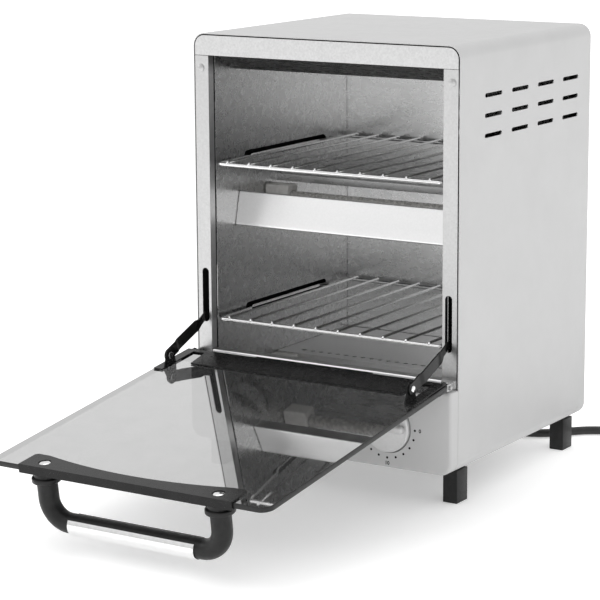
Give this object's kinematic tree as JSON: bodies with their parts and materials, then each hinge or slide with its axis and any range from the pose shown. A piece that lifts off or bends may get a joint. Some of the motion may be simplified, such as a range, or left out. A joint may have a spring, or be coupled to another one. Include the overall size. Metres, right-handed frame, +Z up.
{
  "type": "toaster oven",
  "caption": "Tall toaster oven with two tiers, wire racks, a drop-down mirrored glass door on link arms, a looped door handle and two front dials.",
  "frame": {"origin": "centre of the footprint of the oven with its door open, on the plane that the feet stand on", "axes": "+Z up, +Y from the door towards the back, +X to the right seen from the front"},
  "size_m": [0.3745, 0.5375, 0.345],
  "materials": {
    "white_paint": "fine satin powder coat",
    "galvanised": "satin aluminised sheet with a faint spangle",
    "steel": "plain",
    "chrome": "polished",
    "ceramic": "matt",
    "quartz": "milky",
    "knob": "silvery satin",
    "mirror_glass": "half-mirror coating on flat glass",
    "black_paint": "glossy",
    "black_plastic": "moulded, satin",
    "rubber": "matt"
  },
  "bodies": {
    "body": {"casing": "white_paint", "base_plate": "galvanised", "back_panel": "galvanised", "foot_front_left": "black_plastic", "foot_front_right": "black_plastic", "foot_back_left": "black_plastic", "foot_back_right": "black_plastic", "front_strip_left": "galvanised", "front_strip_right": "galvanised", "strip_rivet_left": "steel", "strip_rivet_right": "steel", "top_strip": "galvanised", "front_threshold": "galvanised", "control_panel": "white_paint", "control_bracket": "galvanised", "cavity_wall_left": "galvanised", "cavity_wall_right": "galvanised", "cavity_back": "galvanised", "cavity_ceiling": "galvanised", "cavity_floor": "galvanised", "top_guard": "galvanised", "middle_guard": "galvanised", "upper_floor_plate": "galvanised", "lower_floor_plate": "galvanised", "upper_rack": "chrome", "lower_rack": "chrome", "heater_top": "quartz", "heater_middle": "quartz", "heater_bottom": "quartz", "heater_holder_top_left": "ceramic", "heater_holder_top_right": "ceramic", "heater_holder_middle_left": "ceramic", "heater_holder_middle_right": "ceramic", "heater_holder_bottom_left": "ceramic", "heater_holder_bottom_right": "ceramic", "timer_unit": "ceramic", "selector_unit": "ceramic", "hinge_pin_left": "steel", "hinge_pin_right": "steel", "cord_gland": "rubber", "cord": "rubber", "cord_coil": "rubber", "plug": "rubber", "plug_blade_left": "steel", "plug_blade_right": "steel"},
    "door": {"door_glass": "mirror_glass", "hinge_frame": "black_paint", "handle_bracket": "black_paint", "handle_tube": "black_plastic", "handle_sleeve": "chrome", "handle_screw_left": "chrome", "handle_screw_right": "chrome", "link_rivet_left": "chrome", "link_rivet_right": "chrome"},
    "link_left": {"link_arm_left": "black_paint"},
    "link_right": {"link_arm_right": "black_paint"},
    "timer": {"timer_knob": "knob", "timer_shaft": "steel"},
    "selector": {"selector_knob": "knob", "selector_shaft": "steel"}
  },
  "joints": [
    {"name": "door_hinge", "type": "hinge", "parent": "body", "child": "door", "pos_m": [0, 0.00378, 0.0935], "axis": [-1, 0, 0], "range_deg": [0, 97.6]},
    {"name": "link_left_pivot", "type": "hinge", "parent": "door", "child": "link_left", "pos_m": [-0.1083, -0.04167, 0.10132], "axis": [1, 0, 0], "range_deg": [0, 78.2]},
    {"name": "link_right_pivot", "type": "hinge", "parent": "door", "child": "link_right", "pos_m": [0.1083, -0.04167, 0.10132], "axis": [1, 0, 0], "range_deg": [0, 78.2]},
    {"name": "timer_turn", "type": "hinge", "parent": "body", "child": "timer", "pos_m": [0.0631, -0.00022, 0.058], "axis": [0, 1, 0], "range_deg": [0, 270]},
    {"name": "selector_turn", "type": "hinge", "parent": "body", "child": "selector", "pos_m": [-0.0631, -0.00022, 0.058], "axis": [0, 1, 0], "range_deg": [0, 298]}
  ],
  "couplings": [
    {"joint": "link_left_pivot", "follows": "door_hinge", "ratio": 0.8},
    {"joint": "link_right_pivot", "follows": "door_hinge", "ratio": 0.8}
  ]
}
